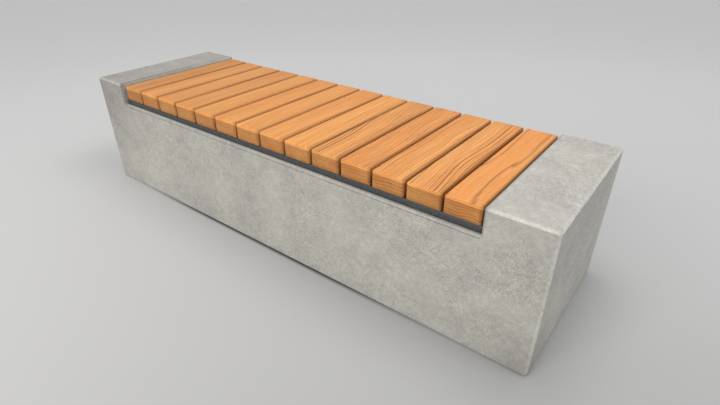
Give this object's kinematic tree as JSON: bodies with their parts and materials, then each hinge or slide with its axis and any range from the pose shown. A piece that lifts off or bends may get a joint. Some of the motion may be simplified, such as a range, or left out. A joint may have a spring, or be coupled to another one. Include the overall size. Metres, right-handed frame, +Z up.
{
  "type": "backless bench",
  "caption": "Backless street bench: a precast concrete block with a recessed seat of timber slats on a steel frame.",
  "frame": {"origin": "middle of the block's underside", "axes": "+X along the bench, -Y its front, +Z up"},
  "size_m": [1.9, 0.56, 0.45],
  "materials": {
    "concrete": "matt, fine-pored precast concrete",
    "timber": "oiled hardwood, planed, rounded edges",
    "dark_paint": "powder coated, anthracite, satin",
    "rubber": "matt black EPDM",
    "stainless_steel": "plain stainless",
    "socket_steel": "zinc plated"
  },
  "bodies": {
    "root": {"concrete_block": "concrete", "slat_01": "timber", "slat_02": "timber", "slat_03": "timber", "slat_04": "timber", "slat_05": "timber", "slat_06": "timber", "slat_07": "timber", "slat_08": "timber", "slat_09": "timber", "slat_10": "timber", "slat_11": "timber", "slat_12": "timber", "slat_13": "timber", "slat_14": "timber", "front_rail": "dark_paint", "rear_rail": "dark_paint", "cross_bar_left": "dark_paint", "cross_bar_middle": "dark_paint", "cross_bar_right": "dark_paint", "front_seating_strip": "rubber", "rear_seating_strip": "rubber", "slat_screw_front_01": "stainless_steel", "slat_screw_front_02": "stainless_steel", "slat_screw_front_03": "stainless_steel", "slat_screw_front_04": "stainless_steel", "slat_screw_front_05": "stainless_steel", "slat_screw_front_06": "stainless_steel", "slat_screw_front_07": "stainless_steel", "slat_screw_front_08": "stainless_steel", "slat_screw_front_09": "stainless_steel", "slat_screw_front_10": "stainless_steel", "slat_screw_front_11": "stainless_steel", "slat_screw_front_12": "stainless_steel", "slat_screw_front_13": "stainless_steel", "slat_screw_front_14": "stainless_steel", "slat_screw_rear_01": "stainless_steel", "slat_screw_rear_02": "stainless_steel", "slat_screw_rear_03": "stainless_steel", "slat_screw_rear_04": "stainless_steel", "slat_screw_rear_05": "stainless_steel", "slat_screw_rear_06": "stainless_steel", "slat_screw_rear_07": "stainless_steel", "slat_screw_rear_08": "stainless_steel", "slat_screw_rear_09": "stainless_steel", "slat_screw_rear_10": "stainless_steel", "slat_screw_rear_11": "stainless_steel", "slat_screw_rear_12": "stainless_steel", "slat_screw_rear_13": "stainless_steel", "slat_screw_rear_14": "stainless_steel", "frame_bolt_1": "stainless_steel", "frame_bolt_2": "stainless_steel", "frame_bolt_3": "stainless_steel", "frame_bolt_4": "stainless_steel", "cast_in_socket_1": "socket_steel", "cast_in_socket_2": "socket_steel", "cast_in_socket_3": "socket_steel", "cast_in_socket_4": "socket_steel"}
  },
  "joints": []
}
